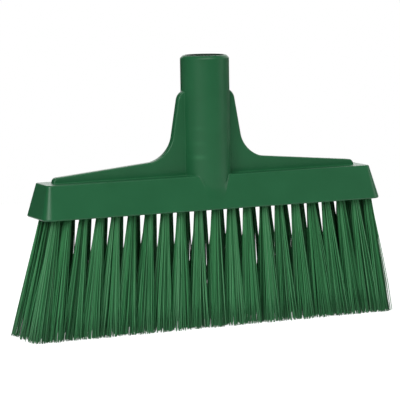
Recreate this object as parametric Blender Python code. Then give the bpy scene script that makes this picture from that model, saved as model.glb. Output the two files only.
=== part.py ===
"""Upright broom head: a moulding of block, web and handle socket, set with tufts of bristles.

Units are metres and +Z is up. The head stands on its bristle tips on the plane z = 0. The block
runs along X, its front faces -Y, and the axis of the handle socket is the Z axis.
"""

import math

import bmesh
import bpy
from mathutils import Vector

# Block: a bar with sloping ends and sides, wider and rounder at its underside
BLOCK_TOP_LENGTH = 0.2512
BLOCK_BOTTOM_LENGTH = 0.2630
BLOCK_TOP_DEPTH = 0.0262
BLOCK_BOTTOM_DEPTH = 0.0416
BLOCK_HEIGHT = 0.0240
BLOCK_TOP_CORNER_RADIUS = 0.0030
BLOCK_BOTTOM_CORNER_RADIUS = 0.0068
BLOCK_TOP_EDGE_RADIUS = 0.0008
BLOCK_BOTTOM_EDGE_RADIUS = 0.0016

# Handle socket: a tube on the middle of the block, with a stem that merges into the block's sides
SOCKET_DIAMETER = 0.0349
SOCKET_HEIGHT = 0.0850
SOCKET_RIM_RADIUS = 0.0022
SOCKET_BORE_DIAMETER = 0.0258
SOCKET_MOUTH_DIAMETER = 0.0280
SOCKET_LEAD_IN = 0.0040
SOCKET_BORE_DEPTH = 0.0580

# Web: an upright plate that braces the socket and runs out along the block's top
WEB_THICKNESS = 0.0060
WEB_EDGE_RADIUS = 0.0012
WEB_END_INSET = 0.0081
WEB_END_HEIGHT = 0.0038
WEB_END_RADIUS = 0.0035
WEB_CROTCH_OVERHANG = 0.0118
WEB_CROTCH_HEIGHT = 0.0120
WEB_CROTCH_RADIUS = 0.0205
WEB_SHOULDER_OVERHANG = 0.0034
WEB_SHOULDER_HEIGHT = 0.0607
WEB_SHOULDER_RADIUS = 0.0080

# Tufts: bundles of bristles set in drilled holes, in a front, a rear and a part-filled middle row
BRISTLE_LENGTH = 0.0830
TUFT_DIAMETER = 0.0064
TUFT_PITCH = 0.0127
TUFT_END_PITCH = 0.0106
TUFTS_AT_END_PITCH = 2
ROW_END_MARGIN = 0.0084
ROW_EDGE_MARGIN = 0.0093
HOLE_DEPTH = 0.0120
HOLE_CLEARANCE = 0.0003
END_TUFT_LEAN = 0.0157
ROW_LEAN = 0.0042
STRANDS_ACROSS = 3
STRAND_TIP_WIDTH = 0.0028
STRAND_TIP_STEP = 0.0040

# How finely round shapes are faceted, and how far shapes run into each other before they are joined
SOCKET_SIDES = 48
ARC_STEP = math.radians(9)
EDGE_SEGMENTS = 2
OVERRUN = 0.0030

# Levels and half sizes that follow from the sizes above
UNDERSIDE = BRISTLE_LENGTH
BLOCK_TOP = UNDERSIDE + BLOCK_HEIGHT
SOCKET_TOP = BLOCK_TOP + SOCKET_HEIGHT
SOCKET_RADIUS = SOCKET_DIAMETER / 2
TUFT_RADIUS = TUFT_DIAMETER / 2
HOLE_RADIUS = TUFT_RADIUS + HOLE_CLEARANCE
OUTER_ROW = BLOCK_BOTTOM_DEPTH / 2 - ROW_EDGE_MARGIN

MOULDING_GREEN = (0.023, 0.117, 0.052)
BRISTLE_GREEN = (0.030, 0.150, 0.058)


def clear_scene():
    for old in list(bpy.data.objects):
        bpy.data.objects.remove(old, do_unlink=True)


def plastic(name, colour, roughness):
    material = bpy.data.materials.new(name)
    material.use_nodes = True
    shader = material.node_tree.nodes["Principled BSDF"]
    shader.inputs["Base Color"].default_value = (*colour, 1.0)
    shader.inputs["Roughness"].default_value = roughness
    shader.inputs["Metallic"].default_value = 0.0
    return material


def object_from(shape, name, material=None, parent=None):
    """Turns a bmesh into a named object with outward faces, smooth where it is round."""
    bmesh.ops.recalc_face_normals(shape, faces=shape.faces)
    mesh = bpy.data.meshes.new(name)
    shape.to_mesh(mesh)
    shape.free()
    mesh.shade_smooth()
    mesh.set_sharp_from_angle(angle=math.radians(30))
    if material:
        mesh.materials.append(material)
    made = bpy.data.objects.new(name, mesh)
    made.parent = parent
    bpy.context.collection.objects.link(made)
    return made


def guide(shape, name):
    """A shape that is only joined to, or cut from, the moulding."""
    made = object_from(shape, name)
    made.hide_render = True
    made.display_type = "WIRE"
    return made


def combine(target, tool, operation):
    boolean = target.modifiers.new(tool.name, "BOOLEAN")
    boolean.operation = operation
    boolean.solver = "EXACT"
    boolean.object = tool


def level_edges(shape, level):
    """The edges of a shape that lie flat at one height."""
    return [
        edge for edge in shape.edges
        if all(math.isclose(vert.co.z, level, abs_tol=1e-6) for vert in edge.verts)
    ]


def round_edges(shape, edges, radius, segments):
    bmesh.ops.bevel(
        shape, geom=edges, offset=radius, segments=segments, profile=0.5, affect="EDGES")


def arc(centre, radius, start, end):
    """Points of a circle from one angle to another, both ends included."""
    steps = max(1, math.ceil(abs(end - start) / ARC_STEP))
    angles = [start + (end - start) * step / steps for step in range(steps + 1)]
    return [centre + radius * Vector((math.cos(a), math.sin(a))) for a in angles]


def rounded_rectangle(length, depth, radius):
    """The outline of a rectangle with round corners, centred on the origin."""
    outline = []
    for quarter, (side_x, side_y) in enumerate(((1, 1), (-1, 1), (-1, -1), (1, -1))):
        centre = Vector((side_x * (length / 2 - radius), side_y * (depth / 2 - radius)))
        start = quarter * math.pi / 2
        outline += arc(centre, radius, start, start + math.pi / 2)
    return outline


def block_shape():
    """A loft between the block's two outlines, with both rims rounded."""
    bottom = rounded_rectangle(BLOCK_BOTTOM_LENGTH, BLOCK_BOTTOM_DEPTH, BLOCK_BOTTOM_CORNER_RADIUS)
    top = rounded_rectangle(BLOCK_TOP_LENGTH, BLOCK_TOP_DEPTH, BLOCK_TOP_CORNER_RADIUS)
    shape = bmesh.new()
    rings = []
    for outline, level in ((bottom, UNDERSIDE), (top, BLOCK_TOP)):
        ring = shape.faces.new([shape.verts.new((point.x, point.y, level)) for point in outline])
        rings += ring.edges
    bmesh.ops.bridge_loops(shape, edges=rings)
    bmesh.ops.recalc_face_normals(shape, faces=shape.faces)
    round_edges(shape, level_edges(shape, UNDERSIDE), BLOCK_BOTTOM_EDGE_RADIUS, EDGE_SEGMENTS)
    round_edges(shape, level_edges(shape, BLOCK_TOP), BLOCK_TOP_EDGE_RADIUS, EDGE_SEGMENTS)
    return shape


def rounded_corner(before, corner, after, radius):
    """The arc that rounds one corner of an outline, as points in order along it."""
    inward = (before - corner).normalized()
    outward = (after - corner).normalized()
    half_angle = inward.angle(outward) / 2
    centre = corner + (inward + outward).normalized() * radius / math.sin(half_angle)
    reach = radius / math.tan(half_angle)
    first = corner + inward * reach - centre
    last = corner + outward * reach - centre
    start = math.atan2(first.y, first.x)
    turn = math.atan2(first.cross(last), first.dot(last))
    return arc(centre, radius, start, start + turn)


def web_outline():
    """Half of the web seen from the front, from its foot at the block's end up to the socket."""
    end = BLOCK_TOP_LENGTH / 2 - WEB_END_INSET
    foot = Vector((end, BLOCK_TOP - OVERRUN))
    tip = Vector((end, BLOCK_TOP + WEB_END_HEIGHT))
    crotch = Vector((SOCKET_RADIUS + WEB_CROTCH_OVERHANG, BLOCK_TOP + WEB_CROTCH_HEIGHT))
    shoulder = Vector((SOCKET_RADIUS + WEB_SHOULDER_OVERHANG, BLOCK_TOP + WEB_SHOULDER_HEIGHT))
    middle = Vector((0.0, shoulder.y))
    outline = [foot]
    outline += rounded_corner(foot, tip, crotch, WEB_END_RADIUS)
    outline += rounded_corner(tip, crotch, shoulder, WEB_CROTCH_RADIUS)
    outline += rounded_corner(crotch, shoulder, middle, WEB_SHOULDER_RADIUS)
    return outline


def web_shape():
    half = web_outline()
    outline = half + [Vector((-point.x, point.y)) for point in reversed(half)]
    shape = bmesh.new()
    front = -WEB_THICKNESS / 2
    verts = [shape.verts.new((point.x, front, point.y)) for point in outline]
    face = shape.faces.new(verts)
    swept = bmesh.ops.extrude_face_region(shape, geom=[face])["geom"]
    moved = [item for item in swept if isinstance(item, bmesh.types.BMVert)]
    bmesh.ops.translate(shape, verts=moved, vec=(0.0, WEB_THICKNESS, 0.0))
    rims = [edge for edge in shape.edges if edge.verts[0].co.y * edge.verts[1].co.y > 0]
    round_edges(shape, rims, WEB_EDGE_RADIUS, EDGE_SEGMENTS)
    return shape


def turned_shape(profile):
    """Spins a profile of (radius, height) points, from the axis to the axis, into a round body."""
    shape = bmesh.new()
    verts = [shape.verts.new((radius, 0.0, height)) for radius, height in profile]
    edges = [shape.edges.new(pair) for pair in zip(verts, verts[1:])]
    bmesh.ops.spin(
        shape, geom=verts + edges, cent=(0.0, 0.0, 0.0), axis=(0.0, 0.0, 1.0),
        angle=math.tau, steps=SOCKET_SIDES, use_merge=True)
    bmesh.ops.remove_doubles(shape, verts=shape.verts, dist=1e-6)
    return shape


def socket_shape():
    rim_centre = Vector((SOCKET_RADIUS - SOCKET_RIM_RADIUS, SOCKET_TOP - SOCKET_RIM_RADIUS))
    rim = arc(rim_centre, SOCKET_RIM_RADIUS, 0.0, math.pi / 2)
    stem_foot = UNDERSIDE + OVERRUN
    return turned_shape([
        (0.0, stem_foot),
        (SOCKET_RADIUS, stem_foot),
        *[(point.x, point.y) for point in rim],
        (0.0, SOCKET_TOP),
    ])


def bore_shape():
    bore = SOCKET_BORE_DIAMETER / 2
    mouth = SOCKET_MOUTH_DIAMETER / 2
    bottom = SOCKET_TOP - SOCKET_BORE_DEPTH
    return turned_shape([
        (0.0, bottom),
        (bore, bottom),
        (bore, SOCKET_TOP - SOCKET_LEAD_IN),
        (mouth, SOCKET_TOP),
        (mouth, SOCKET_TOP + OVERRUN),
        (0.0, SOCKET_TOP + OVERRUN),
    ])


class Tuft:
    """One bundle: where it leaves the block, where its tip stands, and its width at the floor."""

    def __init__(self, name, across, row, fan, tip_pitch):
        self.name = name
        self.root = Vector((across, row * OUTER_ROW, UNDERSIDE))
        self.tip = Vector((across * (1 + fan), row * (OUTER_ROW + ROW_LEAN), 0.0))
        self.strand_step = Vector((tip_pitch / STRANDS_ACROSS, STRAND_TIP_STEP))

    def drift(self, height):
        """How far the slanting bundle moves sideways and up over a height above the floor."""
        return (self.root - self.tip) * (height / BRISTLE_LENGTH)


def tuft_places():
    """Distances of the tufts from the middle of the block, from one end to the other."""
    reach = BLOCK_BOTTOM_LENGTH / 2 - ROW_END_MARGIN - TUFTS_AT_END_PITCH * TUFT_END_PITCH
    wide = math.floor(reach / TUFT_PITCH)
    side = [TUFT_PITCH * (step + 1) for step in range(wide)]
    for _ in range(TUFTS_AT_END_PITCH):
        side.append(side[-1] + TUFT_END_PITCH)
    return [-place for place in reversed(side)] + [0.0] + side


def all_tufts():
    places = tuft_places()
    fan = END_TUFT_LEAN / places[-1]
    last = len(places) - 1
    tufts = []
    for row_name, row in (("front", -1), ("middle", 0), ("rear", 1)):
        for index, across in enumerate(places):
            at_end = min(index, last - index) < TUFTS_AT_END_PITCH
            if row_name == "middle" and not at_end:
                continue
            inner, outer = places[max(index - 1, 0)], places[min(index + 1, last)]
            neighbours = min(index + 1, last) - max(index - 1, 0)
            tip_pitch = (outer - inner) / neighbours * (1 + fan)
            tufts.append(Tuft(f"tuft_{row_name}_{index + 1:02d}", across, row, fan, tip_pitch))
    return tufts


def disc_of_cells(shape, radius):
    """Adds a grid of square cells that is pulled out into a disc, and returns its faces."""
    made = bmesh.ops.create_grid(
        shape, x_segments=STRANDS_ACROSS, y_segments=STRANDS_ACROSS, size=1.0)
    for vert in made["verts"]:
        u, v = vert.co.x, vert.co.y
        vert.co.x = radius * u * math.sqrt(1 - v * v / 2)
        vert.co.y = radius * v * math.sqrt(1 - u * u / 2)
    return list({face for vert in made["verts"] for face in vert.link_faces})


def raise_plug(shape, faces, drift):
    """Extrudes a disc into a slanting plug and makes one face of its far end."""
    swept = bmesh.ops.extrude_face_region(shape, geom=faces)["geom"]
    moved = [item for item in swept if isinstance(item, bmesh.types.BMVert)]
    far_end = [item for item in swept if isinstance(item, bmesh.types.BMFace)]
    bmesh.ops.translate(shape, verts=moved, vec=drift)
    bmesh.ops.dissolve_faces(shape, faces=far_end, use_verts=False)


def hole_shape(tufts):
    """The drilled holes, as one set of slanting plugs with a running clearance round each tuft."""
    shape = bmesh.new()
    for tuft in tufts:
        faces = disc_of_cells(shape, HOLE_RADIUS)
        mouth = {vert for face in faces for vert in face.verts}
        bmesh.ops.translate(shape, verts=list(mouth), vec=tuft.root - tuft.drift(OVERRUN))
        raise_plug(shape, faces, tuft.drift(HOLE_DEPTH + OVERRUN))
        bmesh.ops.dissolve_faces(shape, faces=faces, use_verts=False)
    return shape


def tuft_shape(tuft):
    """A bundle round its root: a plug that fills the hole, split into strands down to the floor."""
    shape = bmesh.new()
    cells = disc_of_cells(shape, TUFT_RADIUS)
    raise_plug(shape, cells, tuft.drift(HOLE_DEPTH - HOLE_CLEARANCE))
    centres = [cell.calc_center_median() for cell in cells]
    ends = bmesh.ops.extrude_discrete_faces(shape, faces=cells)["faces"]
    for end in ends:
        centre = end.calc_center_median()
        place = min(range(len(centres)), key=lambda index: (centres[index] - centre).length)
        set_strand_tip(end, centres[place], tuft)
    return shape


def set_strand_tip(end, root_centre, tuft):
    """Moves one strand's end to its place in the square pattern on the floor."""
    along_x = side_of(root_centre.x, TUFT_RADIUS / STRANDS_ACROSS)
    along_y = side_of(root_centre.y, TUFT_RADIUS / STRANDS_ACROSS)
    spread = Vector((along_x * tuft.strand_step.x, along_y * tuft.strand_step.y, 0.0))
    centre = tuft.tip - tuft.root + spread
    half = STRAND_TIP_WIDTH / 2
    for vert in end.verts:
        corner = vert.co - root_centre
        vert.co = centre + Vector((math.copysign(half, corner.x), math.copysign(half, corner.y), 0.0))


def side_of(value, limit):
    """-1, 0 or 1 for a value below, within or above a band round zero."""
    return 0 if abs(value) < limit else int(math.copysign(1, value))


def build():
    clear_scene()
    head = bpy.data.objects.new("broom_head", None)
    bpy.context.collection.objects.link(head)
    tufts = all_tufts()

    moulding_plastic = plastic("moulding_plastic", MOULDING_GREEN, 0.38)
    moulding = object_from(block_shape(), "broom_moulding", moulding_plastic, head)
    combine(moulding, guide(web_shape(), "web_guide"), "UNION")
    combine(moulding, guide(socket_shape(), "socket_guide"), "UNION")
    combine(moulding, guide(bore_shape(), "bore_cutter"), "DIFFERENCE")
    combine(moulding, guide(hole_shape(tufts), "hole_cutter"), "DIFFERENCE")

    bristle_plastic = plastic("bristle_plastic", BRISTLE_GREEN, 0.45)
    for tuft in tufts:
        bundle = object_from(tuft_shape(tuft), tuft.name, bristle_plastic, head)
        bundle.location = tuft.root


build()
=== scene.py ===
# %% [markdown]
# # An upright broom head in green plastic
# The real thing has two sorts of part. One moulding carries the handle socket, a web that braces it
# and the block below. Bundles of bristles, called tufts, stand in holes drilled in that block.
# The CAD frame gives every size and place in metres, so each piece is modelled straight where it
# belongs: X runs along the block, the front faces -Y and the bristles are cut to end at about z = 0.

# %% Load the frame
import math

import bmesh
import bpy
import numpy as np
from mathutils import Matrix, Vector


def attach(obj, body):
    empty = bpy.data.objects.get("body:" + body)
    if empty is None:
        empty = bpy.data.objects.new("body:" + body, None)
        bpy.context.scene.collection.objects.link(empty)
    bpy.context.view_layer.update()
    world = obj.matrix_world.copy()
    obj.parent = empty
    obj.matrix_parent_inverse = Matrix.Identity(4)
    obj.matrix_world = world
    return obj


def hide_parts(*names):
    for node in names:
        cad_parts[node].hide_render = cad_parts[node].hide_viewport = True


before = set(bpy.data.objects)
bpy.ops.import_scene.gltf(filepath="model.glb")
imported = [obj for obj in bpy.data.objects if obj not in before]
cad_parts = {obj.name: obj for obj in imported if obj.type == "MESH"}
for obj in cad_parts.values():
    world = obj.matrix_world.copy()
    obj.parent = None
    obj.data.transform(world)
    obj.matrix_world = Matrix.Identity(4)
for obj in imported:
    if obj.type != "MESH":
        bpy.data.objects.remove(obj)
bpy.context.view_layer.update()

# %% [markdown]
# ## The camera
# A product picture like this one is taken with a long lens from well back, so that the two ends of
# the broom look alike. The viewpoint is a little to the left and a little above the block's top. It is
# written as a direction and a distance from a point inside the broom, which reads better than three
# coordinates, and the lens is the picture's focal length in pixels turned into millimetres.

# %% Place the camera
IMAGE_WIDTH = 400
SENSOR_WIDTH = 36.0
FOCAL_PIXELS = 2330.7
CAMERA_AZIMUTH = math.radians(-24.08)
CAMERA_ELEVATION = math.radians(6.84)
CAMERA_ROLL = math.radians(-0.98)
CAMERA_DISTANCE = 1.6671
CAMERA_TARGET = Vector((-0.00533, 0.0, 0.08833))


def direction(azimuth, elevation):
    """A unit vector from the broom: azimuth 0 is its front, 90 degrees its right end."""
    level = math.cos(elevation)
    return Vector((math.sin(azimuth) * level, -math.cos(azimuth) * level, math.sin(elevation)))


def turned_axes(back, roll):
    """The axes of a camera or lamp that looks along -back."""
    right = Vector((0.0, 0.0, 1.0)).cross(back).normalized()
    up = back.cross(right)
    tilted = right * math.cos(roll) + up * math.sin(roll)
    return Matrix((tilted, back.cross(tilted), back)).transposed()


bpy.ops.object.select_all(action="DESELECT")
bpy.ops.object.camera_add()
camera = bpy.context.object
camera.name = "photo_camera"
camera.data.sensor_width = SENSOR_WIDTH
camera.data.lens = FOCAL_PIXELS * SENSOR_WIDTH / IMAGE_WIDTH
camera_back = direction(CAMERA_AZIMUTH, CAMERA_ELEVATION)
camera.location = CAMERA_TARGET + camera_back * CAMERA_DISTANCE
camera.rotation_euler = turned_axes(camera_back, CAMERA_ROLL).to_euler()
bpy.context.scene.camera = camera
print("camera: lens", round(camera.data.lens, 1), "mm at", tuple(round(c, 3) for c in camera.location))

# %% [markdown]
# ## Shader maths as Python
# Materials here are small calculations: a little noise times a strength, added to a base value.
# Building that node by node hides the thought behind it, so a thin class wraps a socket and lets
# Python's own signs add the Math nodes. Every other node comes from one method, which sets the node up
# first and then fills or links its sockets.


# %% A socket that Python can calculate with
class Signal:
    """An output in a node tree; sums and products of signals add Math nodes to that tree."""

    def __init__(self, tree, socket=None):
        self.tree = tree
        self.socket = socket

    def node(self, kind, settings=None, inputs=None, output=0):
        """Adds one node: its settings, then the values or links of its sockets."""
        made = self.tree.nodes.new(kind)
        for name, value in (settings or {}).items():
            if name == "stops":
                self.set_stops(made.color_ramp.elements, value)
            else:
                setattr(made, name, value)
        for name, value in (inputs or {}).items():
            if isinstance(value, Signal):
                self.tree.links.new(value.socket, made.inputs[name])
            else:
                made.inputs[name].default_value = value
        return Signal(self.tree, made.outputs[output] if made.outputs else None)

    @staticmethod
    def set_stops(elements, stops):
        """Gives a colour ramp these stops; it starts with two of its own."""
        while len(elements) < len(stops):
            elements.new(1.0)
        for element, (position, colour) in zip(elements, stops):
            element.position = position
            element.color = (*colour, 1.0)

    def other(self, output):
        """Another output of the node that this signal comes from."""
        return Signal(self.tree, self.socket.node.outputs[output])

    def maths(self, operation, first, second):
        return self.node("ShaderNodeMath", {"operation": operation}, {0: first, 1: second})

    def __add__(self, other):
        return self.maths("ADD", self, other)

    def __sub__(self, other):
        return self.maths("SUBTRACT", self, other)

    def __rsub__(self, other):
        return self.maths("SUBTRACT", other, self)

    def __mul__(self, other):
        return self.maths("MULTIPLY", self, other)

    __radd__ = __add__
    __rmul__ = __mul__


print("shader maths: a signal adds, subtracts and multiplies")

# %% [markdown]
# ## A white studio
# The background of the picture is plain white. Pouring light on it would bleach the broom too, so the
# world is white only for what the camera, a reflection or a clear material sees, and dimmer as a source
# of light.

# %% Make the world
AMBIENT = 0.12
WHITE = (1.0, 1.0, 1.0, 1.0)


def start_nodes(owner):
    """Empties the nodes of a world or material, and gives a signal to start a calculation from."""
    owner.use_nodes = True
    owner.node_tree.nodes.clear()
    return Signal(owner.node_tree)


def seen_directly(start):
    """1 for what the camera, a mirror or glass sees, and 0 for light on its way to a matt surface."""
    camera_ray = start.node("ShaderNodeLightPath", output="Is Camera Ray")
    seen = camera_ray + camera_ray.other("Is Glossy Ray") + camera_ray.other("Is Transmission Ray")
    return seen.maths("MINIMUM", seen, 1.0)


studio = bpy.data.worlds.new("white_studio")
bpy.context.scene.world = studio
sky = start_nodes(studio)
sky_light = AMBIENT + seen_directly(sky) * (1.0 - AMBIENT)
sky_shader = sky.node("ShaderNodeBackground", inputs={"Color": WHITE, "Strength": sky_light})
sky.node("ShaderNodeOutputWorld", inputs={"Surface": sky_shader})
bpy.context.scene.view_settings.view_transform = "Standard"
print("world:", len(studio.node_tree.nodes), "nodes, ambient", AMBIENT)

# %% [markdown]
# ## The floor
# The broom stands on white paper too, and only a soft shadow tells where. A shadow catcher would show that
# as well, but it needs a see-through background. So the floor is a matt surface that also glows for what
# the camera sees. It lies just under z = 0, because the longest bristles stand a little proud of the level
# they are cut to.

# %% Lay the floor
FLOOR_GLOW = 0.76
FLOOR_SIDES = 96
FLOOR_RADIUS = 0.75
FLOOR_GREY = 0.70
TIPS_PROUD = 0.0008
FLOOR_GAP = 0.0002


def empty_material(name):
    """A new material without nodes, and a signal to start its calculation from."""
    material = bpy.data.materials.new(name)
    return material, start_nodes(material)


floor_paint, paint = empty_material("pale_floor")
matt = paint.node("ShaderNodeBsdfDiffuse", inputs={"Color": (FLOOR_GREY, FLOOR_GREY, FLOOR_GREY, 1.0)})
glow = paint.node("ShaderNodeEmission", inputs={"Strength": seen_directly(paint) * FLOOR_GLOW})
floor_shader = paint.node("ShaderNodeAddShader", inputs={0: matt, 1: glow})
paint.node("ShaderNodeOutputMaterial", inputs={"Surface": floor_shader})

bpy.ops.object.select_all(action="DESELECT")
bpy.ops.mesh.primitive_circle_add(
    vertices=FLOOR_SIDES, radius=FLOOR_RADIUS, fill_type="NGON",
    location=(0.0, 0.0, -TIPS_PROUD - FLOOR_GAP))
floor = bpy.context.object
floor.name = "studio_floor"
floor.data.materials.append(floor_paint)
print("floor: radius", FLOOR_RADIUS, "m, glow", FLOOR_GLOW)

# %% [markdown]
# ## Soft lamps
# Five soft boxes give the shapes their modelling. The two strong ones, high above and in front on the
# left, light the front face, the socket and the tops of the tufts, and leave the rows behind dark. A narrow
# one further left draws the bright line on the block's corner, and one on the right keeps that side open.
# The last is the glow of the white paper that hangs behind. Area lamps are used because a small lamp
# would cut hard shadows that a studio picture doesn't have.

# %% Set the lamps
LAMP_AIM = Vector((0.0, 0.0, 0.10))
# name, azimuth and elevation in degrees, distance, width and height in metres, power in watts
LAMPS = (
    ("top_soft_box", -10.0, 62.0, 1.6, 1.2, 0.8, 10.2),
    ("front_soft_box", -40.0, 28.0, 1.8, 1.0, 0.8, 9.6),
    ("left_soft_box", -57.0, 25.0, 1.5, 0.40, 0.60, 5.2),
    ("right_soft_box", 62.0, 18.0, 1.6, 0.5, 0.8, 4.6),
    ("paper_soft_box", 157.0, 13.0, 2.0, 1.6, 0.7, 4.1),
)


def add_soft_box(name, azimuth, elevation, distance, width, height, power):
    """A rectangular lamp that faces the broom and isn't seen by the camera."""
    back = direction(math.radians(azimuth), math.radians(elevation))
    bpy.ops.object.select_all(action="DESELECT")
    bpy.ops.object.light_add(type="AREA", location=LAMP_AIM + back * distance)
    lamp = bpy.context.object
    lamp.name = name
    lamp.rotation_euler = turned_axes(back, 0.0).to_euler()
    lamp.data.shape = "RECTANGLE"
    lamp.data.size = width
    lamp.data.size_y = height
    lamp.data.energy = power
    lamp.visible_camera = False
    return lamp


lamps = [add_soft_box(*settings) for settings in LAMPS]
print("lamps:", [lamp.name for lamp in lamps])

# %% [markdown]
# ## Modelling by hand, in code
# Each solid starts as a primitive and is shaped in edit mode, as with a mouse. The one thing a mouse does
# that a script has to spell out is choosing: an operator acts on what is selected, so a small helper
# selects faces or edges by where they lie or which way they face.

# %% Helpers for edit mode
FACING = 0.9


def choose(kind, test):
    """In edit mode, selects only the VERT, EDGE or FACE items that pass a test, and says how many."""
    bpy.ops.mesh.select_mode(type=kind)
    bpy.ops.mesh.select_all(action="DESELECT")
    shape = bmesh.from_edit_mesh(bpy.context.object.data)
    items = {"VERT": shape.verts, "EDGE": shape.edges, "FACE": shape.faces}[kind]
    chosen = [item for item in items if test(item)]
    for item in chosen:
        item.select_set(True)
    shape.select_flush_mode()
    bmesh.update_edit_mesh(bpy.context.object.data)
    return len(chosen)


def faces_up(face):
    return face.normal.z > FACING


def faces_down(face):
    return face.normal.z < -FACING


def start_cylinder(name, sides, radius, low, high):
    """An upright cylinder on the Z axis, left open in edit mode."""
    bpy.ops.object.select_all(action="DESELECT")
    bpy.ops.mesh.primitive_cylinder_add(vertices=sides, radius=radius, depth=high - low)
    cylinder = bpy.context.object
    cylinder.name = cylinder.data.name = name
    bpy.ops.object.mode_set(mode="EDIT")
    bpy.ops.transform.translate(value=(0.0, 0.0, (low + high) / 2))
    return cylinder


def close_edit():
    """Leaves edit mode, so that what was shaped is in the mesh."""
    bpy.ops.object.mode_set(mode="OBJECT")


print("edit mode helpers: a face looks up from a normal of", FACING)

# %% [markdown]
# ## The dark side of the room
# A satin surface mirrors the room as well as the lamps. In a real studio most of that room is dark, and
# only the paper behind the object is white. A round dim wall stands in for it, open above the floor where
# the paper hangs. Only reflections see the wall: without it, the green would carry a grey veil of white
# from all sides.

# %% Stand the dim wall round the studio
WALL_SIDES = 48
WALL_RADIUS = 3.4
WALL_LOW, WALL_HIGH = -2.0, 3.6
WALL_GREY = 0.04
PAPER_FROM, PAPER_TO = math.radians(95), math.radians(182)
PAPER_LOW = 0.15


def in_paper_sector(face):
    """True for the wall's bottom, and for its faces behind the object and to its right."""
    middle = face.calc_center_median()
    azimuth = math.atan2(middle.x, -middle.y) % math.tau
    is_paper = PAPER_FROM < azimuth < PAPER_TO and PAPER_LOW < middle.z < WALL_HIGH
    return is_paper or faces_down(face)


wall_paint, paint = empty_material("dim_wall")
wall_light = paint.node("ShaderNodeEmission", inputs={"Strength": WALL_GREY})
paint.node("ShaderNodeOutputMaterial", inputs={"Surface": wall_light})
wall = start_cylinder("dim_wall", WALL_SIDES, WALL_RADIUS, WALL_LOW, PAPER_LOW)
choose("FACE", faces_up)
bpy.ops.mesh.extrude_region_move(TRANSFORM_OT_translate={"value": (0.0, 0.0, WALL_HIGH - PAPER_LOW)})
opened = choose("FACE", in_paper_sector)
bpy.ops.mesh.delete(type="FACE")
close_edit()
wall.data.materials.append(wall_paint)
wall.visible_camera = False
wall.visible_diffuse = False
wall.visible_transmission = False
wall.visible_shadow = False
print("wall:", opened, "faces left open")

# %% [markdown]
# ## Finding an edge
# A maker sees which edge to round. In a script an edge is found by its place: its two ends share a height,
# or a distance from the middle. Choosing it by its number would work too, but the numbers change with
# every bevel. A box starts from two opposite corners, because those are what a drawing gives.

# %% Helpers for edges and boxes
TOLERANCE = 1e-5


def near(value, goal):
    return abs(value - goal) < TOLERANCE


def lies_at(edge, axis, goal):
    """True for an edge whose two ends share one coordinate."""
    return all(near(vert.co[axis], goal) for vert in edge.verts)


def start_box(name, low, high):
    """A cube stretched between two corners and left open in edit mode."""
    bpy.ops.object.select_all(action="DESELECT")
    bpy.ops.mesh.primitive_cube_add(size=1.0)
    box = bpy.context.object
    box.name = box.data.name = name
    bpy.ops.object.mode_set(mode="EDIT")
    bpy.ops.transform.resize(value=Vector(high) - Vector(low))
    bpy.ops.transform.translate(value=(Vector(high) + Vector(low)) / 2)
    return box


print("edges: found to within", TOLERANCE, "m")

# %% [markdown]
# ## The block
# The block is a bar that widens downwards, so that it leaves its mould, and its corners are rounder at the
# bottom than at the top. A cube with bevelled upright corners takes that shape when each upper corner is
# drawn in by itself: it shrinks about its own corner point and then moves inwards. Scaling the whole top
# would be quicker, but would squash the arcs. The flat rims come last, because a rim can only run smoothly
# round a corner that is round already.

# %% Shape the block
UNDERSIDE = 0.0830
BLOCK_TOP = 0.1070
BOTTOM_CORNER = Vector((0.1315, 0.0208, BLOCK_TOP))
TOP_CORNER = Vector((0.1256, 0.0131, BLOCK_TOP))
BOTTOM_CORNER_RADIUS = 0.0068
TOP_CORNER_RADIUS = 0.0030
CORNER_STEPS = 10
BOTTOM_RIM_RADIUS = 0.0016
TOP_RIM_RADIUS = 0.0008
RIM_STEPS = 5


def draw_in_corner(side_x, side_y):
    """Moves one upper corner of the block in, and gives it the smaller radius."""
    sides = Vector((side_x, side_y, 1.0))
    choose("VERT", lambda vert: (
        near(vert.co.z, BLOCK_TOP) and vert.co.x * side_x > 0 and vert.co.y * side_y > 0))
    scale = TOP_CORNER_RADIUS / BOTTOM_CORNER_RADIUS
    bpy.ops.transform.resize(value=(scale, scale, 1.0), center_override=BOTTOM_CORNER * sides)
    bpy.ops.transform.translate(value=(TOP_CORNER - BOTTOM_CORNER) * sides)


moulding = start_box("moulding", (-BOTTOM_CORNER.x, -BOTTOM_CORNER.y, UNDERSIDE), BOTTOM_CORNER)
choose("EDGE", lambda edge: not lies_at(edge, 2, BLOCK_TOP) and not lies_at(edge, 2, UNDERSIDE))
bpy.ops.mesh.bevel(offset=BOTTOM_CORNER_RADIUS, segments=CORNER_STEPS, affect="EDGES")
for side_x, side_y in ((-1, -1), (1, -1), (1, 1), (-1, 1)):
    draw_in_corner(side_x, side_y)
choose("EDGE", lambda edge: lies_at(edge, 2, UNDERSIDE))
bpy.ops.mesh.bevel(offset=BOTTOM_RIM_RADIUS, segments=RIM_STEPS, affect="EDGES")
choose("EDGE", lambda edge: lies_at(edge, 2, BLOCK_TOP))
bpy.ops.mesh.bevel(offset=TOP_RIM_RADIUS, segments=RIM_STEPS, affect="EDGES")
close_edit()
print("block:", len(moulding.data.polygons), "faces")

# %% [markdown]
# ## The web
# The web is a plate 6 mm thick. It stands up beside the socket, sweeps down in a curve and runs out as a
# low rib to both ends of the block. A drawn outline could be extruded, but then its arcs would be fixed
# points. So the web grows from a box between the two shoulders: each side face is pulled out twice, and
# its top edge is lowered after each pull. The corners of that outline are then bevelled into arcs. A
# bevel is measured along the faces, so each radius is turned into that length.

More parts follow.
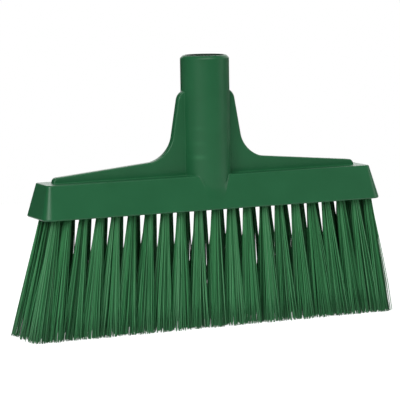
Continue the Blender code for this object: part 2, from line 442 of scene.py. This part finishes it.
# %% Shape the web
WEB_HALF = 0.0030
WEB_RIM = 0.0012
WEB_SINK = 0.0030
WEB_FOOT = BLOCK_TOP - WEB_SINK
SHOULDER = Vector((0.02085, BLOCK_TOP + 0.0607))
CROTCH = Vector((0.02925, BLOCK_TOP + 0.0120))
WEB_TIP = Vector((0.1175, BLOCK_TOP + 0.0038))
SHOULDER_RADIUS, SHOULDER_STEPS = 0.0080, 10
CROTCH_RADIUS, CROTCH_STEPS = 0.0205, 18
TIP_RADIUS, TIP_STEPS = 0.0035, 8
FLAT = math.radians(0.5)


def bevel_length(before, corner, after, radius):
    """How far from a corner an arc of this radius touches both sides."""
    return radius / math.tan((before - corner).angle(after - corner) / 2)


def pull_out(side, start, end):
    """Extrudes the end face of the web and lowers its top edge."""
    choose("FACE", lambda face: near(face.calc_center_median().x, side * start.x))
    reach = (side * (end.x - start.x), 0.0, 0.0)
    bpy.ops.mesh.extrude_region_move(TRANSFORM_OT_translate={"value": reach})
    choose("EDGE", lambda edge: lies_at(edge, 0, side * end.x) and lies_at(edge, 2, start.y))
    bpy.ops.transform.translate(value=(0.0, 0.0, end.y - start.y))


def round_outline(corner, length, segments):
    """Turns one corner of the outline, on both halves of the web, into an arc."""
    choose("EDGE", lambda edge: lies_at(edge, 2, corner.y) and (
        lies_at(edge, 0, corner.x) or lies_at(edge, 0, -corner.x)))
    bpy.ops.mesh.bevel(offset=length, segments=segments, affect="EDGES")


web = start_box("web", (-SHOULDER.x, -WEB_HALF, WEB_FOOT), (SHOULDER.x, WEB_HALF, SHOULDER.y))
for side in (-1, 1):
    pull_out(side, SHOULDER, CROTCH)
    pull_out(side, CROTCH, WEB_TIP)
bpy.ops.mesh.select_all(action="SELECT")
bpy.ops.mesh.dissolve_limited(angle_limit=FLAT)
middle = Vector((0.0, SHOULDER.y))
foot = Vector((WEB_TIP.x, WEB_FOOT))
round_outline(SHOULDER, bevel_length(middle, SHOULDER, CROTCH, SHOULDER_RADIUS), SHOULDER_STEPS)
round_outline(CROTCH, bevel_length(SHOULDER, CROTCH, WEB_TIP, CROTCH_RADIUS), CROTCH_STEPS)
round_outline(WEB_TIP, bevel_length(CROTCH, WEB_TIP, foot, TIP_RADIUS), TIP_STEPS)
choose("EDGE", lambda edge: lies_at(edge, 1, -WEB_HALF) or lies_at(edge, 1, WEB_HALF))
bpy.ops.mesh.bevel(offset=WEB_RIM, segments=RIM_STEPS, affect="EDGES")
close_edit()
print("web:", len(web.data.polygons), "faces")

# %% [markdown]
# ## The socket
# The handle goes into a plain tube with a well rounded rim. The tube is wider than the top of the block,
# so its stem stands out of the block's two sides and fades away where the sides slope out to meet it.
# A cylinder that starts inside the block gives that bulge for nothing. The three shapes are then joined by
# a Boolean modifier: pushed into each other unjoined, they would look the same but leave hidden faces.

# %% Shape the socket and join the three
SOCKET_SIDES = 72
SOCKET_RADIUS = 0.01745
SOCKET_TOP = 0.1920
SOCKET_RIM = 0.0022
SOCKET_RIM_STEPS = 6
SOCKET_RIM_PROFILE = 0.34
STEM_LIFT = 0.0030


def pick(piece):
    """Makes a piece the only selected one, and the one that operators act on."""
    bpy.ops.object.select_all(action="DESELECT")
    piece.select_set(True)
    bpy.context.view_layer.objects.active = piece


def apply_modifier(piece, kind, **settings):
    """Adds a modifier to a piece, sets it and applies it at once."""
    pick(piece)
    bpy.ops.object.modifier_add(type=kind)
    modifier = piece.modifiers[-1]
    for name, value in settings.items():
        setattr(modifier, name, value)
    bpy.ops.object.modifier_apply(modifier=modifier.name)


def combine(piece, tool, operation):
    """Joins a tool to a piece or cuts it out, and throws the tool away."""
    apply_modifier(piece, "BOOLEAN", operation=operation, solver="EXACT", object=tool)
    bpy.data.objects.remove(tool, do_unlink=True)


socket = start_cylinder("socket", SOCKET_SIDES, SOCKET_RADIUS, UNDERSIDE + STEM_LIFT, SOCKET_TOP)
choose("EDGE", lambda edge: lies_at(edge, 2, SOCKET_TOP))
bpy.ops.mesh.bevel(
    offset=SOCKET_RIM, segments=SOCKET_RIM_STEPS, profile=SOCKET_RIM_PROFILE, affect="EDGES")
close_edit()
combine(moulding, web, "UNION")
combine(moulding, socket, "UNION")
print("moulding joined:", len(moulding.data.polygons), "faces")

# %% [markdown]
# ## Root fillets
# Plastic never fills a sharp inner corner, and a toolmaker rounds it anyway. Those corners are the edges of
# the joined shape that fold inwards, so they can be found by their angle. Most get a small fillet. Where
# the stem runs out in the block's sloping side, it blends in more and more softly. One bevel has one
# width, so each band of edges there is marked with its own share of the widest blend, and a Bevel modifier
# that reads those marks rounds them all together.

# %% Round the inner corners
FILLET = 0.0005
FILLET_STEPS = 6
BLEND = 0.0045
BLEND_STEPS = 12
FOLD = math.radians(10)
STEM_RUNS_OUT = 0.0930


def folds_inwards(edge):
    """True for an inner corner that is sharp enough to round."""
    return edge.is_manifold and not edge.is_convex and edge.calc_face_angle() > FOLD


def weigh(low, high, width):
    """Marks the inner corners between two heights for a bevel of this width."""
    def between(edge):
        return low <= (edge.verts[0].co.z + edge.verts[1].co.z) / 2 < high
    count = choose("EDGE", lambda edge: folds_inwards(edge) and between(edge))
    if count:
        bpy.ops.transform.edge_bevelweight(value=width / BLEND)
    return count


pick(moulding)
bpy.ops.object.mode_set(mode="EDIT")
step = (BLOCK_TOP - STEM_RUNS_OUT) / BLEND_STEPS
inner_corners = weigh(BLOCK_TOP - step, SOCKET_TOP, FILLET)
for number in range(BLEND_STEPS - 1):
    low = STEM_RUNS_OUT + number * step
    inner_corners += weigh(low, low + step, BLEND + (FILLET - BLEND) * number / (BLEND_STEPS - 1))
close_edit()
apply_modifier(
    moulding, "BEVEL", limit_method="WEIGHT", width=BLEND, segments=FILLET_STEPS, use_clamp_overlap=False)
print("fillets:", inner_corners, "edges rounded")

# %% [markdown]
# ## The bore
# The handle's bore is round, ends in a flat floor and opens in a funnel at its mouth, which leads the
# handle in. One cylinder, whose top is pulled up and widened, has that whole shape, so a single cut makes
# the bore. Two cuts, one for the funnel, would leave a seam between them.

# %% Cut the bore
BORE_RADIUS = 0.0129
MOUTH_RADIUS = 0.0140
LEAD_IN = 0.0040
BORE_BOTTOM = 0.1340
OVERRUN = 0.0030

bore = start_cylinder("bore", SOCKET_SIDES, BORE_RADIUS, BORE_BOTTOM, SOCKET_TOP - LEAD_IN)
choose("FACE", faces_up)
bpy.ops.mesh.extrude_region_move(TRANSFORM_OT_translate={"value": (0.0, 0.0, LEAD_IN)})
bpy.ops.transform.resize(value=(MOUTH_RADIUS / BORE_RADIUS, MOUTH_RADIUS / BORE_RADIUS, 1.0))
bpy.ops.mesh.extrude_region_move(TRANSFORM_OT_translate={"value": (0.0, 0.0, OVERRUN)})
close_edit()
combine(moulding, bore, "DIFFERENCE")
print("bore:", round(SOCKET_TOP - BORE_BOTTOM, 4), "m deep,", len(moulding.data.polygons), "faces")

# %% [markdown]
# ## The thread
# A coarse thread in the bore holds the handle. It is one small profile carried round the axis by a Screw
# modifier: proud of the wall, and sunk in it a little so that the two really meet. A grain in the material
# could hint at it, but the mouth is open and a real ridge catches light. It is joined after the bore is
# cut, since the cut would take it away.

# %% Add the thread
THREAD_PITCH = 0.0050
THREAD_TURNS = 8
THREAD_START = 0.1390
THREAD_HEIGHT = 0.0008
THREAD_SUNK = 0.0004
THREAD_BASE = 0.0024
THREAD_CREST = 0.0010
THREAD_STEPS = 48
PROFILE_SIDES = 4

profile_depth = THREAD_HEIGHT + THREAD_SUNK
bpy.ops.object.select_all(action="DESELECT")
bpy.ops.mesh.primitive_plane_add(size=1.0, rotation=(math.pi / 2, 0.0, 0.0))
thread = bpy.context.object
thread.name = "thread"
bpy.ops.object.transform_apply(rotation=True)
bpy.ops.object.mode_set(mode="EDIT")
bpy.ops.transform.resize(value=(profile_depth, 1.0, THREAD_BASE))
choose("EDGE", lambda edge: all(vert.co.x < 0 for vert in edge.verts))
bpy.ops.transform.resize(value=(1.0, 1.0, THREAD_CREST / THREAD_BASE))
bpy.ops.mesh.select_all(action="SELECT")
bpy.ops.transform.translate(value=(BORE_RADIUS + THREAD_SUNK - profile_depth / 2, 0.0, THREAD_START))
close_edit()
apply_modifier(
    thread, "SCREW", axis="Z", screw_offset=THREAD_PITCH, iterations=THREAD_TURNS,
    steps=THREAD_STEPS, render_steps=THREAD_STEPS, use_normal_calculate=True)
bpy.ops.object.mode_set(mode="EDIT")
bpy.ops.mesh.select_all(action="SELECT")
# the ridge is open at both ends, in holes with as many sides as the profile
bpy.ops.mesh.fill_holes(sides=PROFILE_SIDES)
bpy.ops.mesh.normals_make_consistent(inside=False)
close_edit()
combine(moulding, thread, "UNION")
print("thread:", THREAD_TURNS, "turns, moulding now has", len(moulding.data.polygons), "faces")

# %% [markdown]
# ## Where the tufts stand
# A tufting machine drills the holes and leans each one a little, so that the bristles fan out beyond the
# block. The two long rows run along its edges, and two short runs close the gap between them at the
# ends. Even spacing would be simplest, but the drill of this head stood about a millimetre to the right,
# and some holes are out of step by a few tenths more. That decides where one can look through between the
# rows, so both are kept. Each tuft is written down as its root in the block and its tip on the floor.

# %% Plan the tufts
TUFT_PITCH = 0.0127
TUFT_END_PITCH = 0.0106
WIDE_STEPS = 8
END_STEPS = 2
OUTER_ROW = 0.0115
ROW_LEAN = 0.0042
END_TUFT_LEAN = 0.0157
ROWS = (("front", -1), ("middle", 0), ("rear", 1))
ROW_SHIFT = {"front": 0.0010, "middle": 0.0011, "rear": 0.0010}
ROW_STRETCH = {"front": 1.0, "middle": 1.0, "rear": 1.008}
# the holes at the left end are drawn in, and none lies further out than this
LAST_HOLE = -0.1197
# how far each hole of a row is out of step, from left to right, in tenths of a millimetre
OUT_OF_STEP = {
    "front": (0, 0, 12, 11, -2, -3, -2, -7, -9, -3, 5, 0, -2, 4, -3, 2, 1, -5, -9, 0, 0),
    "rear": (0, 0, 12, 9, 4, -7, -7, -7, -8, -7, -3, 4, 1, 3, 1, 6, 12, 2, 2, 0, 0),
}
STEP_UNIT = 0.0001

side_places = [TUFT_PITCH * step for step in range(1, WIDE_STEPS + 1)]
side_places += [side_places[-1] + TUFT_END_PITCH * step for step in range(1, END_STEPS + 1)]
tuft_places = [-place for place in reversed(side_places)] + [0.0] + side_places
fan = 1 + END_TUFT_LEAN / side_places[-1]
in_step = (0,) * len(tuft_places)

tufts = {}
for row_name, row in ROWS:
    for index, place in enumerate(tuft_places):
        from_end = min(index, len(tuft_places) - 1 - index)
        if row_name != "middle" or from_end < END_STEPS:
            own_shift = OUT_OF_STEP.get(row_name, in_step)[index] * STEP_UNIT
            along_block = place * ROW_STRETCH[row_name] + ROW_SHIFT[row_name] + own_shift
            root = np.array((max(along_block, LAST_HOLE), row * OUTER_ROW, UNDERSIDE))
            tip = np.array((place * fan + own_shift, row * (OUTER_ROW + ROW_LEAN), 0.0))
            tufts[f"{row_name}_{index + 1:02d}"] = (root, tip)
print("tufts planned:", len(tufts), "from", min(tufts), "to", max(tufts))

# %% [markdown]
# ## The tuft holes
# The block has one blind hole for each tuft. They are copies of one cylinder, each leaned towards its own
# tip, and are cut out together, which is quicker and cleaner than 46 cuts.

# %% Drill the tuft holes
HOLE_RADIUS = 0.0035
HOLE_DEPTH = 0.0120
HOLE_SIDES = 24


def mesh_arrays(mesh):
    """The points of a mesh as an array, and its faces as lists of point numbers."""
    points = np.empty(len(mesh.vertices) * 3)
    mesh.vertices.foreach_get("co", points)
    return points.reshape(-1, 3), [list(face.vertices) for face in mesh.polygons]


def on_level(flat):
    """Points of a plane as points in space, at height 0."""
    return np.column_stack((flat, np.zeros(len(flat))))


def joined_copies(name, copies, faces):
    """One object from many shifted copies of the same points and faces."""
    starts = [len(copies[0]) * number for number in range(len(copies))]
    all_faces = [[start + corner for corner in face] for start in starts for face in faces]
    mesh = bpy.data.meshes.new(name)
    mesh.from_pydata(np.concatenate(copies).tolist(), [], all_faces)
    made = bpy.data.objects.new(name, mesh)
    bpy.context.scene.collection.objects.link(made)
    return made


drill = start_cylinder("drill", HOLE_SIDES, HOLE_RADIUS, -OVERRUN, HOLE_DEPTH)
close_edit()
drill_points, drill_faces = mesh_arrays(drill.data)
bpy.data.objects.remove(drill)
leaned = []
for root, tip in tufts.values():
    slope = (root - tip)[:2] / UNDERSIDE
    leaned.append(drill_points + on_level(drill_points[:, 2:] * slope) + root)
combine(moulding, joined_copies("drills", leaned, drill_faces), "DIFFERENCE")
print("holes:", len(leaned), "in the block,", len(moulding.data.polygons), "faces")

# %% [markdown]
# ## A smooth skin
# On the real moulding the broad faces are flat and only the fillets and rims turn the light. Smooth shading
# alone would bend the broad faces too, so edges sharper than 20 degrees are kept, and the Weighted
# Normal modifier lets each large face decide the shading along its border.

# %% Smooth the moulding
SHARP_FROM = math.radians(20)

pick(moulding)
bpy.ops.object.shade_smooth_by_angle(angle=SHARP_FROM)
apply_modifier(moulding, "WEIGHTED_NORMAL", keep_sharp=True)
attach(moulding, "root")
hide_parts("broom_moulding")
print("moulding: smooth, rides on root")

# %% [markdown]
# ## Painted marks on the moulding
# Two places on the moulding are painted differently from the rest. On the front of the socket, sink marks
# lie where the plastic is thick and shrank as it cooled, and small pale spots are painted there as a
# highlight where the left lamp's shine would catch them. The bore is painted dark, a painted shade for the
# little light that gets into it, and is made duller. Both could be painted on an image, but they are simple
# in space: a mark is near a point, and the bore is near the axis. So each becomes a small sum on the
# piece's own coordinates.

# %% Find the marks and the bore
MARK_SIZE = Vector((0.0036, 0.0036, 0.0013))
MARK_X, MARK_Y = -0.0114, -0.0132
# height in metres and strength of each painted highlight spot at a sink mark
SINK_MARK_HIGHLIGHTS = ((0.1408, 0.16), (0.1302, 0.14), (0.1204, 0.42))
BORE_WALL_MARGIN = 0.00005
BORE_FLOOR_MARGIN = 0.001


def sink_mark_highlight(where, height):
    """1 in the middle of a flat oval mark, a half at its edge and fading to 0 outside it."""
    spot = Vector((MARK_X, MARK_Y, height))
    shrink = Vector(1.0 / side for side in MARK_SIZE)
    moved = where.node("ShaderNodeVectorMath", {"operation": "MULTIPLY_ADD"}, {
        0: where, 1: shrink, 2: -spot * shrink})
    away = where.node("ShaderNodeVectorMath", {"operation": "LENGTH"}, {0: moved}, output="Value")
    return away.maths("POWER", 0.5, away * away)


def in_bore(where):
    """1 on the walls of the handle's bore and 0 elsewhere."""
    x = where.node("ShaderNodeSeparateXYZ", inputs={0: where}, output="X")
    y, z = x.other("Y"), x.other("Z")
    within = x.maths("LESS_THAN", x * x + y * y, (MOUTH_RADIUS + BORE_WALL_MARGIN) ** 2)
    return within * z.maths("GREATER_THAN", z, BORE_BOTTOM - BORE_FLOOR_MARGIN)


print("marks:", len(SINK_MARK_HIGHLIGHTS), "on the socket")

# %% [markdown]
# ## Moulding plastic
# The moulding is satin polypropylene, coloured right through. Seen close, it isn't one flat green: the
# colour and the shine drift a little where the melt flowed, and the mould leaves a very fine grain. Noise
# at two scales gives both. It is read in the piece's own coordinates, so nothing has to be unwrapped and
# the pattern stays in place when the piece is moved.

# %% Make the moulding plastic
CLOUD_SCALE, CLOUD_DETAIL = 45.0, 3.0
GRAIN_SCALE, GRAIN_DETAIL = 1400.0, 2.0
GRAIN_STRENGTH = 0.12
GRAIN_HEIGHT = 0.00005
MOULDING_DARK = (0.0148, 0.108, 0.0408, 1.0)
MOULDING_LIGHT = (0.0188, 0.134, 0.0518, 1.0)
# the pale green at the sink marks is a painted highlight
SINK_MARK_PAINTED_HIGHLIGHT = (0.050, 0.230, 0.100, 1.0)
# the bore's dark green is a painted shade for the little light inside it
BORE_PAINTED_SHADE = (0.003, 0.024, 0.010, 1.0)
SATIN, SATIN_DRIFT, BORE_DULLNESS = 0.33, 0.06, 0.3
MOULDING_SPECULAR = 0.34


def blend(factor, first, second):
    """A colour between two others. A Mix node's colour sockets come after its number and vector ones."""
    settings = {"data_type": "RGBA"}
    return factor.node("ShaderNodeMix", settings, {0: factor, 6: first, 7: second}, output=2)


moulding_plastic, plain = empty_material("moulding_plastic")
where = plain.node("ShaderNodeTexCoord", output="Object")
clouds = plain.node("ShaderNodeTexNoise", inputs={
    "Vector": where, "Scale": CLOUD_SCALE, "Detail": CLOUD_DETAIL})
grain = plain.node("ShaderNodeTexNoise", inputs={
    "Vector": where, "Scale": GRAIN_SCALE, "Detail": GRAIN_DETAIL})
green = blend(clouds, MOULDING_DARK, MOULDING_LIGHT)
# painted highlight: pale spots where the sink marks would catch the left lamp's shine
for height, strength in SINK_MARK_HIGHLIGHTS:
    green = blend(sink_mark_highlight(where, height) * strength, green, SINK_MARK_PAINTED_HIGHLIGHT)
# painted shade: the bore's walls are coloured dark and made duller
inside = in_bore(where)
relief = plain.node("ShaderNodeBump", inputs={
    "Strength": GRAIN_STRENGTH, "Distance": GRAIN_HEIGHT, "Height": grain})
plastic = plain.node("ShaderNodeBsdfPrincipled", inputs={
    "Base Color": blend(inside, green, BORE_PAINTED_SHADE),
    "Roughness": SATIN + SATIN_DRIFT * clouds + BORE_DULLNESS * inside,
    "Specular IOR Level": MOULDING_SPECULAR,
    "Normal": relief,
})
plain.node("ShaderNodeOutputMaterial", inputs={"Surface": plastic})
moulding.data.materials.clear()
moulding.data.materials.append(moulding_plastic)
print("moulding plastic:", len(moulding_plastic.node_tree.nodes), "nodes")

# %% [markdown]
# ## One bristle
# A bristle is a plastic thread about half a millimetre thick, cut off blunt. A five-sided cylinder with a
# few rings along it is enough at that size, because smooth shading makes it look round, and the rings
# let it bend. It is modelled once, one metre long, and every copy is drawn down to its own length.

# %% Model one bristle
BRISTLE_SIDES = 5
BRISTLE_RADIUS = 0.00028
BRISTLE_CUTS = 6
BRISTLE_TIP_SCALE = 0.9

bristle = start_cylinder("bristle", BRISTLE_SIDES, BRISTLE_RADIUS, 0.0, 1.0)
choose("EDGE", lambda edge: not lies_at(edge, 2, 0.0) and not lies_at(edge, 2, 1.0))
bpy.ops.mesh.subdivide(number_cuts=BRISTLE_CUTS)
choose("FACE", faces_down)
bpy.ops.transform.resize(value=(BRISTLE_TIP_SCALE, BRISTLE_TIP_SCALE, 1.0))
close_edit()
bristle_points, bristle_faces = mesh_arrays(bristle.data)
bpy.data.objects.remove(bristle)
print("bristle:", len(bristle_faces), "faces")

# %% [markdown]
# ## Bristle plastic
# The bristles are drawn threads of a harder plastic in the same green. Each one takes the dye a little
# differently, and all are painted a little paler towards their cut ends. One material serves them all:
# every bristle lies as a narrow upright strip on its tuft's UV map, further right the paler it is, with its
# tip at the top. So the shader reads the tone across the map and the place along the bristle up it. A
# material for each tone would do the same with dozens of near copies.

# %% Make the bristle material
BRISTLE_GREENS = (
    (0.0, (0.004, 0.052, 0.012)),
    (0.5, (0.051, 0.268, 0.096)),
    (1.0, (0.124, 0.375, 0.176)),
)
# the bristles are painted paler towards their tips
TIP_PALE_GREEN = (0.110, 0.400, 0.190, 1.0)
TIP_PALING = 0.12
SHEEN, TONE_DULLNESS = 0.38, 0.12
BRISTLE_SPECULAR = 0.22
UV_NAME = "OFBake"

bristle_plastic, strand = empty_material("bristle_plastic")
strand_map = strand.node("ShaderNodeUVMap", {"uv_map": UV_NAME})
tone = strand.node("ShaderNodeSeparateXYZ", inputs={0: strand_map}, output="X")
down = tone.other("Y")
green = strand.node("ShaderNodeValToRGB", {"stops": BRISTLE_GREENS}, {0: tone})
paled_green = blend(down * down * TIP_PALING, green, TIP_PALE_GREEN)
plastic = strand.node("ShaderNodeBsdfPrincipled", inputs={
    "Base Color": paled_green,
    "Roughness": SHEEN + TONE_DULLNESS * tone,
    "Specular IOR Level": BRISTLE_SPECULAR,
})
strand.node("ShaderNodeOutputMaterial", inputs={"Surface": plastic})
print("bristle plastic:", len(bristle_plastic.node_tree.nodes), "nodes")

# %% [markdown]
# ## How a tuft spreads
# A machine folds a bundle of bristles, presses it into its hole with a flat wire, and trims all the ends
# at one level. The bristles fill the hole evenly, like seeds in a sunflower, and keep that order as they
# spread towards the floor. Then comes the disorder of the real thing: neighbours cling together in clumps,
# a few stray, and no two ends are cut quite alike. A hair system would scatter them too, but it would leave
# no plain mesh that fills its own hole.

# %% Spread the bristles of a tuft
BRISTLES_PER_TUFT = 116
GOLDEN_ANGLE = math.pi * (3 - math.sqrt(5))
TIP_HALF_DEPTH = 0.0072
CLUMPS = 11
CLUMP_SHIFT = 0.0005
OWN_SHIFT = 0.0006
STRAY_SHARE = 0.04
STRAY_SHIFT = 0.0020
TRIMMED = 0.0030
RAGGED = 0.0011
MEAN_TONE = 0.5
CLUMP_TONE = 0.15
OWN_TONE = 0.27
SEED = 21

dice = np.random.default_rng(SEED)


def sunflower(count):
    """Points that fill a disc of radius 1 evenly."""
    steps = np.arange(count)
    radius = np.sqrt((steps + 0.5) / count)
    angle = steps * GOLDEN_ANGLE
    return np.column_stack((radius * np.cos(angle), radius * np.sin(angle)))


def spread_across(disc):
    """Moves the points of a disc so that, seen from the side, they lie evenly across its width."""
    return (np.arcsin(disc) + disc * np.sqrt(1.0 - disc ** 2)) * 2.0 / math.pi


def strand_offsets(lean, root_radius, tip_half_width):
    """Places of a tuft's bristles round its axis, at the block and at the floor, and their tones."""
    disc = sunflower(BRISTLES_PER_TUFT)
    clump = np.argmin(((disc[:, None] - sunflower(CLUMPS)[None]) ** 2).sum(2), axis=1)
    shift = dice.normal(0.0, CLUMP_SHIFT, (CLUMPS, 2))[clump]
    shift += dice.normal(0.0, OWN_SHIFT, disc.shape)
    stray = dice.random(BRISTLES_PER_TUFT) < STRAY_SHARE
    shift[stray] += dice.normal(0.0, STRAY_SHIFT, (stray.sum(), 2))
    at_floor = spread_across(disc) * (tip_half_width, TIP_HALF_DEPTH) + shift
    run = np.linalg.norm(at_floor - disc * root_radius + lean[:2], axis=1)
    # a bristle that leans out ends higher, less what the trimming evens out
    rise = np.maximum(0.0, run ** 2 / (2 * UNDERSIDE) - TRIMMED)
    rise += np.maximum(0.0, dice.normal(0.0, RAGGED, BRISTLES_PER_TUFT)) - TIPS_PROUD
    tone = MEAN_TONE + dice.normal(0.0, CLUMP_TONE, CLUMPS)[clump]
    tone += dice.normal(0.0, OWN_TONE, BRISTLES_PER_TUFT)
    return on_level(disc * root_radius), np.column_stack((at_floor, rise)), np.clip(tone, 0.0, 1.0)


print("tuft:", BRISTLES_PER_TUFT, "bristles in", CLUMPS, "clumps")

# %% [markdown]
# ## The line of one bristle
# A bristle stands straight in its hole, leans out with its tuft below the block and moves away from the
# tuft's axis as the bundle opens into a cone. A slight bow keeps it from looking ruled. A curve with a
# bevel would follow such a line too, but moving the rings of the modelled bristle is far lighter for
# thousands.

# %% Lead a bristle along its line
ROOT_SINK = 0.0070
RING_SPACING = 1.5


def ring_places(share):
    """How far down a ring of the bristle lies: 0 at the block, 1 at the floor, and below 0 in the hole."""
    first = 1.0 / (BRISTLE_CUTS + 1)
    outside = np.maximum(share - first, 0.0) / (1.0 - first)
    inside = np.minimum(share / first, 1.0) - 1.0
    return outside ** RING_SPACING + inside * ROOT_SINK / UNDERSIDE


def opened_share(along, opening):
    """How far a bundle has opened: evenly for an opening of 1, sooner above that and later below it."""
    return 1.0 - (1.0 - np.clip(along, 0.0, 1.0)) ** opening


def strand_points(root, lean, at_block, at_floor, bow, opening):
    """The points of one bristle, from inside the hole to its tip."""
    along = ring_places(1.0 - bristle_points[:, 2:])
    opened = opened_share(along, opening)
    line = root + lean * along + at_block + (at_floor - at_block) * opened * (1.0, 1.0, 0.0)
    line[:, 2:] += at_floor[2] * along
    # a bow is widest in the lower half, and 0 at the block and at the floor
    bend = 4.0 * along * (1.0 - along) * np.maximum(along, 0.0)
    return line + on_level(bristle_points[:, :2]) + bend * bow


print("rings at", np.round(ring_places(np.linspace(0.0, 1.0, BRISTLE_CUTS + 2)), 2))

# %% [markdown]
# ## The tone map
# Each face of a bristle needs its place on the map that the bristle plastic reads. All bristles could share
# one place, but then they would share one tone. So each gets a narrow strip of its own. The strip has a
# small width, and its two blunt ends a small height, because a face without area on the map would be lost
# when the finish is baked for export.

# %% Map the tone of a bristle
TONE_STRIP = 0.03
LOWEST_V, STRAND_V, END_V = 0.01, 0.96, 0.01


def strand_uvs(tone_value):
    """A narrow strip of the tone map for every corner of one bristle's faces."""
    uvs = []
    for face in bristle_faces:
        for corner in face:
            x, y, level = bristle_points[corner]
            u = tone_value + TONE_STRIP * (0.5 + 0.5 * x / BRISTLE_RADIUS)
            uvs.append((u, LOWEST_V + STRAND_V * (1.0 - level) + END_V * y / BRISTLE_RADIUS))
    return uvs


print("tone map:", len(strand_uvs(0.0)), "corners on a strip", TONE_STRIP, "wide")

# %% [markdown]
# ## The tufts
# Now every hole gets its tuft. The front row is a little slimmer than the rear one, and slimmest at the
# ends of the block, where the holes are closer. All tufts lean outwards, and a touch to the left, as
# bristles do that have been packed or swept that way. One mesh for the whole field would be simpler, but a
# tuft is what the machine sets and what the CAD model counts, so each is a mesh of its own.

# %% Set the tufts
ROOT_RADIUS = {"front": 0.0028, "middle": 0.0031, "rear": 0.0033}
TIP_HALF_WIDTH = {"front": 0.0072, "middle": 0.0074, "rear": 0.0090}
OPENING = {"front": 0.88, "middle": 1.0, "rear": 1.3}
END_FROM = TUFT_PITCH * (WIDE_STEPS + 0.5)
END_HALF_WIDTH = 0.0062
END_OPENING = 1.0
LEAN_SHARE = 0.83
SWEEP = -0.0017
MOST_LEFT, MOST_RIGHT = -0.0161, 0.0088
BOW = 0.0006

for name, (root, tip) in tufts.items():
    row_name = name.split("_")[0]
    at_end = abs(root[0]) > END_FROM
    half_width = END_HALF_WIDTH if at_end and row_name == "front" else TIP_HALF_WIDTH[row_name]
    opening = END_OPENING if at_end else OPENING[row_name]
    lean = tip - root
    lean[0] = np.clip(lean[0] * LEAN_SHARE + SWEEP, MOST_LEFT, MOST_RIGHT)
    at_block, at_floor, tones = strand_offsets(lean, ROOT_RADIUS[row_name], half_width)
    bows = on_level(dice.normal(0.0, BOW, (BRISTLES_PER_TUFT, 2)))
    copies = [strand_points(root, lean, *own, opening) for own in zip(at_block, at_floor, bows)]
    tuft = joined_copies("bristles_" + name, copies, bristle_faces)
    uv_map = tuft.data.uv_layers.new(name=UV_NAME)
    uv_map.data.foreach_set("uv", np.ravel([strand_uvs(value) for value in tones * (1.0 - TONE_STRIP)]))
    tuft.data.shade_smooth()
    tuft.data.materials.append(bristle_plastic)
    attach(tuft, "root")
    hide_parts("tuft_" + name)
print("tufts:", len(tufts), "with", len(tufts) * BRISTLES_PER_TUFT, "bristles")
